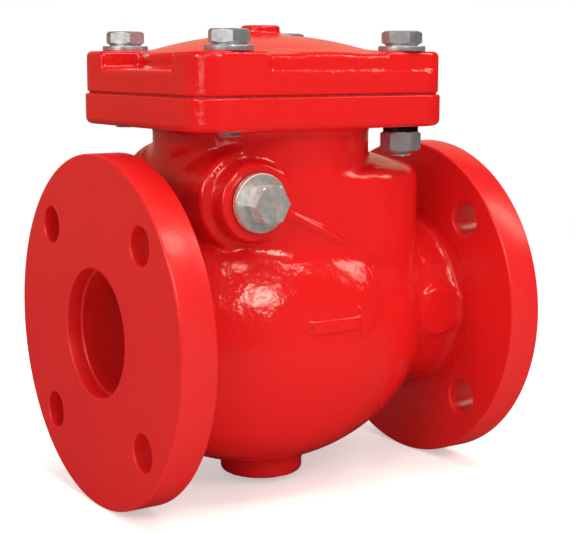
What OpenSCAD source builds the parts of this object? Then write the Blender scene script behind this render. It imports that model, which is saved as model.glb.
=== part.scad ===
// Flanged swing check valve with a bolted top cover.
// X runs along the pipe from the inlet flange's face to the outlet flange's face.
// The origin is the centre of the inlet flange's face, and Z points up.

/* [Pipe flanges] */
// Length of the valve from one flange face to the other
face_to_face = 216; // [210:1:232]
// Outside diameter of both flanges
flange_d = 178; // [172:1:190]
// Thickness of both flanges
flange_t = 19; // [16:0.5:22]
// Diameter of the circle on which the flange bolt holes lie
bolt_circle_d = 139.7; // [136:0.1:146]
// Diameter of each bolt hole in the inlet flange
flange_hole_d = 19; // [15:0.5:21]
// Diameter of each bolt hole in the outlet flange
outlet_hole_d = 19.4; // [15.4:0.5:21.4]
// Number of bolt holes in each flange
flange_holes = 4; // [4:4:8]
// Diameter of the waterway at both ends
bore_d = 65; // [58:0.5:66]
// Depth of the machined mouth of the waterway
mouth_depth = 8; // [4:0.5:12]
// How far the cast waterway is narrower, on the radius, than its mouth
mouth_step = 1; // [0.5:0.1:2]
// Radius of the neck of metal behind each flange
hub_r = 45; // [42:0.5:48]
// Radius of the fillet between that neck and the flange
hub_fillet = 4; // [2:0.5:6]
// Bevel on the rim of each flange
flange_bevel = 1; // [0.5:0.1:2]

/* [Body] */
// How far the chamber's centre lies from the middle of the valve, towards the inlet
body_offset = 10; // [6:0.5:12]
// Thickness of the casting's wall
wall = 9; // [7:0.5:10]
// Largest outside radius of the bulb around the waterway
bulb_r = 73; // [71:0.5:76]
// Radius of the long arc that is turned about the waterway to make the bulb
bulb_arc_r = 114; // [108:1:124]
// How far the bulb's axis lies below the waterway's axis
bulb_drop = 5.5; // [4:0.5:7]
// Outside radius of the neck below the top flange
neck_r = 56.5; // [55:0.5:58]
// Outside radius of the chest that the clapper swings up into
chest_r = 57; // [56:0.5:60]
// How far the chest reaches from the neck's centre towards the outlet
chest_shift = 32.5; // [28:0.5:35]
// Height of the chest's rounded top edge above the waterway's axis
chest_top_z = 80; // [76:0.5:84]
// Radius of the rounding on the chest's top edge
chest_round = 8.5; // [4:0.5:10]
// Slope of the shoulder between the chest's edge and the neck
shoulder_angle = 16; // [12:1:24]
// Height of the neck between the chest's edge and the top flange
neck_h = 21; // [18:0.5:24]
// How far the cheek below the crease beside each hinge boss stands out from the chest
cheek_rise = 1; // [0.6:0.1:1.5]
// Slope of that crease, which runs down from the hinge towards the outlet
crease_angle = 25.6; // [20:0.2:30]
// Length of that crease from the hinge pin
crease_l = 72; // [60:1:74]
// Diameter of the blank drain boss under the bulb
drain_boss_d = 44; // [36:1:50]
// Depth of the drain boss's face below the waterway's axis
drain_boss_z = 85.5; // [82:0.5:89]
// Diameter of the blank boss on each side of the outlet neck
side_boss_d = 26; // [20:1:28]
// Distance of the side bosses' faces from the valve's middle plane
side_boss_face = 47; // [46:0.5:50]
// Height of the raised flow arrow above the surface around it
mark_rise = 1.2; // [0.8:0.1:2]

/* [Top flange and cover] */
// Length of the top flange, along the pipe
plate_l = 150; // [146:1:156]
// Width of the top flange, across the pipe
plate_w = 133; // [131:1:138]
// Radius of the top flange's corners
plate_corner_r = 17; // [12:0.5:20]
// Thickness of the top flange
plate_t = 16; // [13:0.5:18]
// Rounding on the lower edge of the top flange
plate_round = 3.5; // [2:0.5:5]
// Thickness of the gasket under the cover
gasket_t = 0.8; // [0.6:0.1:1.5]
// How much smaller the cover is than the top flange, on each side
cover_margin = 1; // [0.5:0.1:2]
// Thickness of the cover's flat rim
cover_rim_t = 12.2; // [10:0.2:14]
// Height of the four bolt bosses above the cover's rim
cover_boss_h = 8.8; // [6:0.2:9]
// Distance from the bolts to the inner edges of the bolt bosses
cover_boss_r = 16.5; // [14:0.5:18]
// How far the raised dome's foot stands back from the cover's sides
dome_margin = 3.5; // [2.5:0.5:6]
// Height of the dome's middle above its own edge
dome_crown = 8.5; // [6:0.5:11]
// Radius of the round pad in the middle of the dome
pad_r = 10; // [7:0.5:13]
// Height of that pad above the dome
pad_h = 4.5; // [2:0.5:6]

/* [Cover fasteners] */
// Distance from the cover bolts to the ends of the top flange
bolt_edge_x = 23.7; // [22:0.1:26]
// Distance from the cover bolts to the sides of the top flange
bolt_edge_y = 13.35; // [13:0.05:15]
// Diameter of the cover bolts
bolt_d = 12; // [10:0.5:13]
// Width across the flats of the bolt heads and nuts
hex_af = 18; // [16:0.5:19]
// Height of the bolt heads
head_h = 7.6; // [6:0.2:9]
// Height of the nuts under the outlet side of the top flange
nut_h = 10; // [8:0.5:12]
// Outside diameter of the plain washers under the bolt heads
washer_d = 24; // [22:0.5:26]
// Thickness of the plain washers
washer_t = 2.6; // [2:0.1:3]
// Outside diameter of the spring washers above the nuts
lock_washer_d = 18; // [16:0.5:21]
// Thickness of the spring washers above the nuts
lock_washer_t = 2.6; // [2:0.1:3.2]
// How far the bolts stand out below the nuts or the top flange
bolt_end = 2.4; // [1:0.2:4]

/* [Hinge] */
// Distance of the hinge pin from the chamber's centre, towards the inlet
pin_back = 36; // [34:0.5:37]
// Height of the hinge pin above the waterway's axis
pin_z = 66.5; // [65:0.5:68]
// Diameter of the hinge pin
pin_d = 14; // [12:0.5:16]
// Radius of the cross hub around the hinge pin
cross_hub_r = 25; // [23:0.5:26]
// Half length of the cross hub
cross_hub_y = 43; // [41:0.5:45]
// Radius of the plug bosses on the ends of the cross hub
plug_boss_r = 19.5; // [17:0.5:21]
// Distance of the plug bosses' faces from the valve's middle plane
plug_boss_y = 53.8; // [52:0.2:56]
// Radius of the rounding on the edges of the hub and the plug bosses
boss_round = 3; // [1:0.5:4]
// Outside diameter of the bushes pressed into the body
bush_d = 20; // [18:0.5:21]
// Half width of the pocket in which the arm's hub turns
pocket_y = 26; // [25:0.5:27]
// Radius of the pocket in which the arm's hub turns
pocket_r = 16; // [15:0.5:17]
// Diameter of the screwed end of the side plugs
plug_thread_d = 22; // [21.5:0.5:24]
// Length of the side plugs' screwed ends inside their bosses
plug_thread_l = 9.5; // [8:0.5:11]
// Diameter of the side plugs' flanges
plug_flange_d = 29; // [27:0.5:32]
// Thickness of the side plugs' flanges
plug_flange_t = 3; // [2:0.5:4]
// Width across the flats of the side plugs' heads
plug_af = 17; // [15:0.5:19]
// Height of the side plugs' heads
plug_head_h = 10; // [7:0.5:12]
// Thickness of the sealing washers under the side plugs
plug_seal_t = 1.2; // [0.8:0.1:1.6]

/* [Clapper] */
// Distance of the seat's face from the chamber's centre, towards the inlet
seat_back = 42; // [41:0.5:43]
// Outside radius of the seat ring's flange
seat_flange_r = 41; // [39.5:0.5:42]
// Thickness of the seat ring's flange
seat_flange_t = 5; // [4:0.5:6]
// Radius of the seat ring's screwed part
seat_thread_r = 37; // [36.5:0.5:38]
// Length of the seat ring's screwed part
seat_thread_l = 11; // [8:0.5:13]
// Radius of the clapper disc
disc_r = 39.5; // [38.5:0.5:40.5]
// Thickness of the clapper disc at its rim
disc_t = 7; // [5:0.5:8]
// Thickness of the rubber facing
facing_t = 3.7; // [3:0.1:4.5]
// Thickness of the plate that clamps the facing
clamp_t = 3; // [2.5:0.1:4]
// Radius of the plate that clamps the facing
clamp_r = 25; // [22:0.5:27]
// Diameter of the screws through the clamping plate
clamp_screw_d = 5; // [4:0.5:6]
// Number of those screws
clamp_screws = 4; // [3:1:6]
// Diameter of the disc's stem
stem_d = 14; // [12:0.5:15]
// Radius of the arm's eye around the stem
eye_r = 15; // [14:0.5:17]
// Length of the arm's eye along the stem
eye_l = 13; // [11:0.5:14]
// Thickness of the arm between its hub and its eye
arm_t = 9; // [7:0.5:11]
// Radius of the arm's hub around the hinge pin
arm_hub_r = 12; // [11.5:0.5:13]
// Outside radius of the bush in the arm's hub
arm_bush_r = 9.5; // [9:0.1:10]
// Thickness of the thrust washers beside the arm's hub
thrust_t = 2.6; // [2:0.1:3]
// Distance from the pin to the tip of the arm's stop heel
heel_r = 20; // [18.5:0.5:20.5]
// Thickness of the stop heel
heel_t = 8; // [6:0.5:8.5]
// How far the clapper swings open, in degrees
open_angle = 65; // [60:1:65]
// Width across the flats of the stem's nut
stem_nut_af = 22; // [20:0.5:24]
// Height of the stem's nut
stem_nut_h = 8; // [6:0.5:9]
// Thickness of the washer under the stem's nut
stem_washer_t = 2.5; // [2:0.1:3]

/* [Fits] */
// Clearance on the radius of a part that turns on a pin or a stem
run_gap = 0.05; // [0.02:0.01:0.09]
// Clearance on the radius of a screwed or pressed part
seat_gap = 0.03; // [0.01:0.01:0.08]
// Clearance between faces that slide or touch across a joint
face_gap = 0.3; // [0.2:0.05:0.5]
// Clearance on the radius of the cover bolts in their plain holes
bolt_gap = 0.75; // [0.5:0.05:1.5]

/* [Hidden] */
$fn = 96;

cast_red = [0.90, 0.12, 0.14];
steel = [0.62, 0.63, 0.65];
bright_steel = [0.72, 0.72, 0.74];
bronze = [0.72, 0.53, 0.28];
dark_steel = [0.22, 0.21, 0.23];
rubber_black = [0.08, 0.08, 0.09];
fibre = [0.25, 0.22, 0.20];

cut = 0.5;
bore_r = bore_d / 2;
way_r = bore_r - mouth_step;
body_x = face_to_face / 2 - body_offset;
chest_x = body_x + chest_shift;
pin_x = body_x - pin_back;
seat_x = body_x - seat_back;
plate_low_z = chest_top_z + neck_h;
plate_top_z = plate_low_z + plate_t;
bulb_in_r = bulb_r - wall;
neck_in_r = neck_r - wall - 0.5;
chest_in_r = chest_r - wall;
seat_wall_x = seat_x - seat_flange_t - 1;
roof_z = chest_top_z - wall;

cover_low_z = plate_top_z + gasket_t;
cover_rim_z = cover_low_z + cover_rim_t;
cover_boss_z = cover_rim_z + cover_boss_h;
dome_r = plate_w / 2 - cover_margin - dome_margin;
dome_edge_z = cover_boss_z + 0.2;
dome_sphere_r = (pow(dome_r - 5, 2) + pow(dome_crown, 2)) / (2 * dome_crown);
dome_top_z = dome_edge_z + dome_crown;

washer_top_z = cover_boss_z + washer_t;
nut_top_z = plate_low_z - lock_washer_t;
bolt_span_x = plate_l - 2 * bolt_edge_x;
bolt_span_y = plate_w - 2 * bolt_edge_y;
inlet_bolt_x = body_x - bolt_span_x / 2;
outlet_bolt_x = body_x + bolt_span_x / 2;
bolt_y = bolt_span_y / 2;

plug_face_y = plug_boss_y + plug_seal_t;
pin_half = plug_boss_y - plug_thread_l - face_gap;
arm_hub_half = pocket_y - thrust_t - 3 * face_gap;
wall_reach = body_x - neck_in_r - pin_x;
heel_lead = atan2(heel_t / 2, heel_r);
heel_open_angle = acos((wall_reach + face_gap + 0.1) / norm([heel_r, heel_t / 2])) - heel_lead;
heel_angle = heel_open_angle - open_angle;

facing_x = seat_x + face_gap;
disc_x = facing_x + facing_t;
disc_back_x = disc_x + disc_t;
disc_hub_x = disc_back_x + 2.5;
eye_x = disc_hub_x + face_gap;
stem_washer_x = eye_x + eye_l + face_gap;
stem_nut_x = stem_washer_x + stem_washer_t;
cotter_x = stem_nut_x + stem_nut_h + 1.6;
stem_end_x = cotter_x + 3;
arm_x = eye_x + 1;
clamp_screw_circle = clamp_r - 8;

// Turns a shape that is drawn around Z so that it lies around X instead
module along_x(x = 0) translate([x, 0, 0]) rotate([0, 90, 0]) children();

// Turns a shape drawn around Z so that it lies around the hinge pin, towards side * Y
module along_pin(y = 0, side = 1)
    translate([pin_x, side * y, pin_z]) rotate([-90 * side, 0, 0]) children();

// Puts count copies of its children on a circle around Z, half a step off the first axis
module around_circle(r, count)
    for (i = [0 : count - 1]) rotate([0, 0, (i + 0.5) * 360 / count])
        translate([r, 0, 0]) children();

// Disc profile, half of a section, with a rounding on its upper outer edge
module rounded_profile(r, h, e) {
    square([r - e, h]);
    square([r, h - e]);
    translate([r - e, h - e]) circle(e);
}

// Slab with round corners, whose upper edge is rounded by e
module rounded_slab(l, w, r, h, e) {
    for (sx = [-1, 1], sy = [-1, 1])
        translate([sx * (l / 2 - r), sy * (w / 2 - r), 0]) rotate_extrude()
            rounded_profile(r, h, e);
    for (sy = [-1, 1]) translate([-(l / 2 - r), sy * (w / 2 - r), 0])
        rotate([90, 0, 90]) linear_extrude(l - 2 * r) mirror([sy > 0 ? 0 : 1, 0])
            rounded_profile(r, h, e);
    for (sx = [-1, 1]) translate([sx * (l / 2 - r), w / 2 - r, 0])
        rotate([90, 0, 0]) linear_extrude(w - 2 * r) mirror([sx > 0 ? 0 : 1, 0])
            rounded_profile(r, h, e);
    translate([-(l / 2 - r), -(w / 2 - r), 0]) cube([l - 2 * r, w - 2 * r, h]);
}

// Hexagon from z = 0 to z = h, its first corner at the given angle. A 30 degree cone
// cuts its upper corners and leaves a round face, whose radius is a share of af.
module hex_head(af, h, turn = 0, face = 0.475) {
    corner_r = af / sqrt(3);
    reach = corner_r + 1;
    face_r = face * af;
    intersection() {
        rotate([0, 0, turn]) linear_extrude(h) circle(r = corner_r, $fn = 6);
        rotate_extrude() polygon([
            [0, 0], [reach, 0], [reach, h - (reach - face_r) * tan(30)], [face_r, h], [0, h]
        ]);
    }
}

// Ring from z = 0 to z = h
module ring(outer_r, inner_r, h) difference() {
    cylinder(r = outer_r, h = h);
    translate([0, 0, -cut]) cylinder(r = inner_r, h = h + 2 * cut);
}

// Flange disc with its neck, whose face is at x = 0 and whose neck reaches to x = reach
module pipe_flange(reach) along_x() rotate_extrude() difference() {
    polygon([
        [0, 0], [flange_d / 2 - flange_bevel, 0], [flange_d / 2, flange_bevel],
        [flange_d / 2, flange_t - flange_bevel], [flange_d / 2 - flange_bevel, flange_t],
        [hub_r + hub_fillet, flange_t], [hub_r + hub_fillet, flange_t + hub_fillet],
        [hub_r, flange_t + hub_fillet], [hub_r, reach], [0, reach]
    ]);
    translate([hub_r + hub_fillet, flange_t + hub_fillet]) circle(hub_fillet);
}

// Barrel turned about the waterway: an arc of radius arc_r with its crown at radius r
module barrel(r, arc_r) translate([body_x, 0, -bulb_drop]) along_x() rotate_extrude()
    intersection() {
        translate([r - arc_r, 0]) circle(arc_r, $fn = 256);
        translate([0, -2 * r]) square([r + cut, 4 * r]);
    }

// Chest section: upright wall, rounded edge and sloping shoulder up to height z_top
module chest_profile(r, z_edge, e, z_top) {
    run = (z_top - z_edge) / tan(shoulder_angle);
    tip = [r - e + e * sin(shoulder_angle), z_edge - e + e * cos(shoulder_angle)];
    square([r, z_edge - e]);
    translate([r - e, z_edge - e]) circle(e);
    polygon([
        [0, z_edge - e], [r - e, z_edge - e], tip,
        tip + [-run, run * tan(shoulder_angle)], [0, tip[1] + run * tan(shoulder_angle)]
    ]);
}

// Solid of that section carried round two centres, body_x and chest_x
module chest_solid(r, z_edge, e, z_top) {
    for (x = [body_x, chest_x]) translate([x, 0, 0]) rotate_extrude()
        chest_profile(r, z_edge, e, z_top);
    for (side = [-1, 1]) translate([body_x, 0, 0]) rotate([90, 0, 90])
        linear_extrude(chest_shift) mirror([side > 0 ? 0 : 1, 0])
            chest_profile(r, z_edge, e, z_top);
}

// Cross hub and plug boss on one side of the body
module hinge_boss(side) {
    along_pin(0, side) rotate_extrude() rounded_profile(cross_hub_r, cross_hub_y, boss_round);
    along_pin(0, side) rotate_extrude() rounded_profile(plug_boss_r, plug_boss_y, boss_round);
}

// Raised arrow that shows the flow, cut to follow the bulb
module flow_arrow() intersection() {
    barrel(bulb_r + mark_rise, bulb_arc_r + mark_rise);
    translate([body_x + 5, 0, 5.5]) rotate([90, 0, 0]) linear_extrude(bulb_r + 10) {
        translate([-21.5, -3.6]) square([30, 7.2]);
        polygon([[8, -8], [21, 0], [8, 8]]);
    }
}

// Cheeks on both sides of the chest, which end at a crease that runs down from the hinge
module cheeks() intersection() {
    chest_solid(chest_r + cheek_rise, chest_top_z, chest_round, chest_top_z + 11);
    translate([pin_x, 0, pin_z]) rotate([0, crease_angle, 0])
        translate([-10, -(chest_r + 5), -60]) cube([crease_l + 10, 2 * (chest_r + 5), 60]);
}

// Outside of the casting, as solid metal
module body_outside() {
    pipe_flange(seat_wall_x);
    translate([face_to_face, 0, 0]) mirror([1, 0, 0]) pipe_flange(face_to_face - chest_x);
    intersection() {
        barrel(bulb_r, bulb_arc_r);
        translate([flange_t / 2, -bulb_r, -2 * bulb_r])
            cube([face_to_face - flange_t, 2 * bulb_r, 4 * bulb_r]);
    }
    chest_solid(chest_r, chest_top_z, chest_round, chest_top_z + 11);
    cheeks();
    translate([body_x, 0, 0]) cylinder(r = neck_r, h = plate_low_z + cut);
    translate([body_x, 0, plate_top_z]) mirror([0, 0, 1])
        rounded_slab(plate_l, plate_w, plate_corner_r, plate_t, plate_round);
    for (side = [-1, 1]) hinge_boss(side);
    translate([body_x, 0, 0]) mirror([0, 0, 1])
        rotate_extrude() rounded_profile(drain_boss_d / 2, drain_boss_z, boss_round);
    for (side = [-1, 1])
        translate([face_to_face - flange_t - side_boss_d / 2, 0, 0]) rotate([-90 * side, 0, 0])
            rotate_extrude() rounded_profile(side_boss_d / 2, side_boss_face, boss_round / 2);
    flow_arrow();
}

// Everything on the chamber side of the wall that carries the seat
module beyond_seat_wall() translate([seat_wall_x, -bulb_r, -bulb_r - wall])
    cube([face_to_face, 2 * bulb_r, plate_top_z + 2 * bulb_r]);

module bulb_hollow() intersection() {
    barrel(bulb_in_r, bulb_arc_r - wall);
    beyond_seat_wall();
}

// Room for the open clapper, and the round opening below the cover
module chest_hollow() intersection() {
    union() {
        chest_solid(chest_in_r, roof_z, chest_round, roof_z + 8);
        translate([body_x, 0, 0]) cylinder(r = neck_in_r, h = plate_top_z + cut);
    }
    beyond_seat_wall();
}

// Waterway through both ends, and the tapped hole for the seat ring
module waterway() {
    for (x = [-cut, face_to_face - mouth_depth])
        along_x(x) cylinder(r = bore_r, h = mouth_depth + cut);
    along_x() cylinder(r = way_r, h = seat_wall_x + cut);
    along_x(body_x) cylinder(r = way_r, h = face_to_face - body_x);
    along_x(seat_wall_x - seat_thread_l)
        cylinder(r = seat_thread_r + seat_gap, h = seat_thread_l + cut);
}

// Round pocket in which the arm's hub turns
module hub_pocket() along_pin(-pocket_y) cylinder(r = pocket_r, h = 2 * pocket_y);

// Body with its walls, whose hinge bosses stand into the neck as far as the pocket
module body_shell() {
    difference() {
        body_outside();
        bulb_hollow();
        chest_hollow();
        waterway();
        hub_pocket();
    }
    for (side = [-1, 1])
        along_pin(pocket_y, side) cylinder(r = pocket_r - 1, h = cross_hub_y - pocket_y);
}

// Holes for the bush and for the plug's thread, on one side of the body
module hinge_holes(side) {
    along_pin(pocket_y - cut, side)
        cylinder(r = bush_d / 2 + seat_gap, h = plug_boss_y - pocket_y);
    along_pin(pin_half, side)
        cylinder(r = plug_thread_d / 2 + seat_gap, h = plug_boss_y - pin_half + cut);
}

// Bolt holes through one flange, which starts at x
module flange_bolt_holes(x, d) along_x(x - cut)
    around_circle(bolt_circle_d / 2, flange_holes) cylinder(d = d, h = flange_t + 2 * cut);

// Tapped holes on the inlet side and plain holes on the outlet side
module top_flange_holes() for (side = [-1, 1]) {
    translate([inlet_bolt_x, side * bolt_y, plate_low_z - cut])
        cylinder(r = bolt_d / 2 + seat_gap, h = plate_t + 2 * cut);
    translate([outlet_bolt_x, side * bolt_y, plate_low_z - cut])
        cylinder(r = bolt_d / 2 + bolt_gap, h = plate_t + 2 * cut);
}

module body_casting() color(cast_red) difference() {
    body_shell();
    for (side = [-1, 1]) hinge_holes(side);
    flange_bolt_holes(0, flange_hole_d);
    flange_bolt_holes(face_to_face - flange_t, outlet_hole_d);
    top_flange_holes();
}

// Bronze seat, screwed into the wall from the chamber side, with a raised narrow face
module seat_ring() color(bronze) along_x() rotate_extrude() polygon([
    [way_r, seat_wall_x - seat_thread_l + cut],
    [seat_thread_r, seat_wall_x - seat_thread_l + cut],
    [seat_thread_r, seat_wall_x], [seat_flange_r, seat_wall_x],
    [seat_flange_r, seat_x - 1.2], [disc_r - 1.5, seat_x - 1.2], [disc_r - 2.5, seat_x],
    [bore_r + 1, seat_x], [way_r, seat_x - 1.5]
]);

// Puts its children at the cover's bolts, or at those with the given distances along X
module at_cover_bolts(xs = [inlet_bolt_x, outlet_bolt_x])
    for (x = xs, side = [-1, 1]) translate([x, side * bolt_y, 0]) children();

module cover_gasket() color(fibre) difference() {
    translate([body_x, 0, plate_top_z]) linear_extrude(gasket_t) difference() {
        translate([-(plate_l / 2 - 2), -(plate_w / 2 - 2)])
            square([plate_l - 4, plate_w - 4]);
        circle(neck_in_r);
        for (sx = [-1, 1], sy = [-1, 1])
            translate([sx * (plate_l / 2 - 2), sy * (plate_w / 2 - 2)]) difference() {
                square(2 * (plate_corner_r - 2), center = true);
                translate([-sx, -sy] * (plate_corner_r - 2)) circle(plate_corner_r - 2);
            }
    }
    at_cover_bolts() translate([0, 0, plate_top_z - cut])
        cylinder(r = bolt_d / 2 + bolt_gap, h = gasket_t + 2 * cut);
}

// Section of the dome: upright side with a rounded edge below a shallow crown
module dome_profile(r, z_low, z_edge, sphere_r, crown, e) {
    translate([0, z_low]) rounded_profile(r, z_edge - z_low, e);
    intersection() {
        translate([0, z_edge + crown - sphere_r]) circle(sphere_r, $fn = 360);
        translate([0, z_edge - 1]) square([r - e, crown + 2]);
    }
}

// Bolt bosses in the cover's corners, flush with its sides and rounded along their edges
module cover_bosses() {
    boss_h = cover_boss_z - cover_low_z;
    blank_l = cover_boss_r + bolt_edge_x + plate_corner_r;
    blank_w = cover_boss_r + bolt_edge_y + plate_corner_r;
    intersection() {
        translate([body_x, 0, cover_low_z]) rounded_slab(plate_l - 2 * cover_margin,
            plate_w - 2 * cover_margin, plate_corner_r - cover_margin, boss_h, 3);
        for (sx = [-1, 1], sy = [-1, 1])
            translate([
                body_x + sx * (bolt_span_x / 2 - cover_boss_r + blank_l / 2),
                sy * (bolt_y - cover_boss_r + blank_w / 2), cover_low_z
            ]) rounded_slab(blank_l, blank_w, cover_boss_r - 2, boss_h + 0.4, 2.4);
    }
}

module cover() color(cast_red) difference() {
    union() {
        translate([body_x, 0, cover_low_z]) rounded_slab(plate_l - 2 * cover_margin,
            plate_w - 2 * cover_margin, plate_corner_r - cover_margin, cover_rim_t, 1.5);
        cover_bosses();
        translate([body_x, 0, 0]) rotate_extrude()
            dome_profile(dome_r, cover_low_z, dome_edge_z, dome_sphere_r, dome_crown, 3);
        translate([body_x, 0, cover_low_z]) rounded_slab(bolt_span_x,
            plate_w - 2 * cover_margin - 3, 6, cover_boss_z - cover_low_z - 1, 3);
        translate([body_x, 0, cover_low_z]) rotate_extrude()
            rounded_profile(pad_r, dome_top_z + pad_h - cover_low_z, 1.5);
    }
    translate([body_x, 0, -cut]) rotate_extrude() dome_profile(neck_in_r,
        cover_low_z - 1, dome_edge_z - wall + cut, dome_sphere_r - wall, dome_crown - 2, 4);
    at_cover_bolts() translate([0, 0, cover_low_z - cut])
        cylinder(r = bolt_d / 2 + bolt_gap, h = cover_boss_z - cover_low_z + 2 * cut);
}

// Hexagon bolt whose head rests at head_z and whose shank ends at end_z
module cover_bolt(head_z, end_z, turn) {
    translate([0, 0, head_z]) hex_head(hex_af, head_h, turn);
    translate([0, 0, end_z]) rotate_extrude() polygon([
        [0, 0], [bolt_d / 2 - 1, 0], [bolt_d / 2, 1], [bolt_d / 2, head_z - end_z + cut],
        [0, head_z - end_z + cut]
    ]);
}

module tapped_bolts() color(steel) for (side = [-1, 1])
    translate([inlet_bolt_x, side * bolt_y, 0])
        cover_bolt(washer_top_z, plate_low_z - bolt_end, side > 0 ? 16 : 9);

module through_bolts() color(steel) for (side = [-1, 1])
    translate([outlet_bolt_x, side * bolt_y, 0])
        cover_bolt(washer_top_z, nut_top_z - nut_h - bolt_end, 15);

module bolt_washers() color(steel) at_cover_bolts() translate([0, 0, cover_boss_z])
    ring(washer_d / 2, bolt_d / 2 + bolt_gap / 2, washer_t);

module lock_washers() color(dark_steel) at_cover_bolts([outlet_bolt_x])
    translate([0, 0, nut_top_z]) ring(lock_washer_d / 2, bolt_d / 2 + bolt_gap / 2, lock_washer_t);

module cover_nuts() color(steel) at_cover_bolts([outlet_bolt_x])
    translate([0, 0, nut_top_z - nut_h]) difference() {
        intersection() {
            hex_head(hex_af, nut_h, 22);
            translate([0, 0, nut_h]) mirror([0, 0, 1]) hex_head(hex_af, nut_h, -22);
        }
        translate([0, 0, -cut]) cylinder(r = bolt_d / 2 + seat_gap, h = nut_h + 2 * cut);
    }

module hinge_pin() color(bright_steel) along_pin(-pin_half) rotate_extrude() polygon([
    [0, 0], [pin_d / 2 - 1, 0], [pin_d / 2, 1], [pin_d / 2, 2 * pin_half - 1],
    [pin_d / 2 - 1, 2 * pin_half], [0, 2 * pin_half]
]);

module hinge_bush(side) color(bronze) along_pin(pocket_y, side)
    ring(bush_d / 2, pin_d / 2 + run_gap, pin_half - pocket_y);
module hinge_bush_front() hinge_bush(-1);
module hinge_bush_rear() hinge_bush(1);

module plug_seal(side) color(fibre) along_pin(plug_boss_y, side)
    ring(plug_flange_d / 2 - 0.5, plug_thread_d / 2 + seat_gap, plug_seal_t);
module plug_seal_front() plug_seal(-1);
module plug_seal_rear() plug_seal(1);

// Screwed plug that holds the hinge pin in, with a round flange and a hexagon head
module side_plug(side) color(bright_steel) {
    along_pin(pin_half + face_gap, side)
        cylinder(r = plug_thread_d / 2, h = plug_face_y - pin_half - face_gap);
    along_pin(plug_face_y, side) rotate_extrude()
        rounded_profile(plug_flange_d / 2, plug_flange_t, 0.8);
    along_pin(plug_face_y + plug_flange_t, side) hex_head(plug_af, plug_head_h, 3, 0.55);
}
module side_plug_front() side_plug(-1);
module side_plug_rear() side_plug(1);

// Arm that hangs on the pin: hub, tapered web, eye for the stem and stop heel
module clapper_arm() color(steel) difference() {
    union() {
        along_pin(-arm_hub_half) cylinder(r = arm_hub_r, h = 2 * arm_hub_half);
        along_x(eye_x) rotate_extrude() rounded_profile(eye_r, eye_l, 1);
        translate([arm_x, 0, 0]) rotate([90, 0, 90]) linear_extrude(arm_t) polygon([
            [-arm_hub_half + 2, pin_z], [arm_hub_half - 2, pin_z],
            [eye_r - 1, 4], [-eye_r + 1, 4]
        ]);
        translate([pin_x, -arm_hub_half + 2, pin_z - arm_hub_r])
            cube([arm_x + arm_t - pin_x, 2 * arm_hub_half - 4, arm_hub_r]);
        translate([arm_x, -3, eye_r - 4])
            cube([eye_x + eye_l - arm_x, 6, pin_z - arm_hub_r - eye_r + 6]);
        translate([pin_x, 0, pin_z]) rotate([0, -heel_angle, 0])
            translate([0, -6, -heel_t / 2]) cube([heel_r, 12, heel_t]);
    }
    along_pin(-arm_hub_half - cut)
        cylinder(r = arm_bush_r + seat_gap, h = 2 * arm_hub_half + 2 * cut);
    along_x(eye_x - cut) cylinder(r = stem_d / 2 + run_gap, h = eye_l + 2 * cut);
}

module arm_bush() color(bronze) along_pin(-arm_hub_half)
    ring(arm_bush_r, pin_d / 2 + run_gap, 2 * arm_hub_half);

module thrust_washer(side) color(bronze) along_pin(arm_hub_half + face_gap, side)
    ring(arm_hub_r, pin_d / 2 + run_gap, thrust_t);
module thrust_washer_front() thrust_washer(-1);
module thrust_washer_rear() thrust_washer(1);

// Disc with its stem, turned about the waterway, and screw holes for the clamping plate
module clapper_disc() color(bright_steel) difference() {
    along_x() rotate_extrude() polygon([
        [0, disc_x], [disc_r - 1, disc_x], [disc_r, disc_x + 1], [disc_r, disc_back_x - 2],
        [disc_r - 2, disc_back_x], [eye_r + 6, disc_back_x], [eye_r + 2, disc_hub_x],
        [stem_d / 2, disc_hub_x], [stem_d / 2, stem_end_x - 1.5],
        [stem_d / 2 - 1.5, stem_end_x], [0, stem_end_x]
    ]);
    along_x(disc_x - cut) around_circle(clamp_screw_circle, clamp_screws)
        cylinder(r = clamp_screw_d / 2 + seat_gap, h = disc_t + cut - 1);
    translate([cotter_x, 0, 0]) rotate([90, 0, 0])
        cylinder(r = 1.6 + seat_gap, h = 2 * stem_d, center = true);
}

module disc_facing() color(rubber_black) along_x(facing_x) difference() {
    cylinder(r = disc_r - 0.8, h = facing_t);
    translate([0, 0, -cut]) around_circle(clamp_screw_circle, clamp_screws)
        cylinder(r = clamp_screw_d / 2 + seat_gap, h = facing_t + 2 * cut);
}

module facing_clamp() color(bright_steel) along_x(facing_x - clamp_t) difference() {
    rotate_extrude() polygon([
        [0, 0], [clamp_r - 1, 0], [clamp_r, 1], [clamp_r, clamp_t], [0, clamp_t]
    ]);
    translate([0, 0, -cut]) around_circle(clamp_screw_circle, clamp_screws)
        cylinder(r = clamp_screw_d / 2 + seat_gap, h = clamp_t + 2 * cut);
}

// Screws that clamp the facing, with domed heads on the clamping plate
module clamp_screws() color(steel) along_x(facing_x - clamp_t)
    around_circle(clamp_screw_circle, clamp_screws) {
        cylinder(d = clamp_screw_d, h = clamp_t + facing_t + disc_t - 1.5);
        mirror([0, 0, 1]) rotate_extrude()
            rounded_profile(0.9 * clamp_screw_d, 0.5 * clamp_screw_d, 1);
    }

module stem_washer() color(steel) along_x(stem_washer_x)
    ring(eye_r - 1, stem_d / 2 + seat_gap, stem_washer_t);

module stem_nut() color(steel) along_x(stem_nut_x) difference() {
    hex_head(stem_nut_af, stem_nut_h, 30);
    translate([0, 0, -cut]) cylinder(r = stem_d / 2 + seat_gap, h = stem_nut_h + 2 * cut);
}

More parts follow.
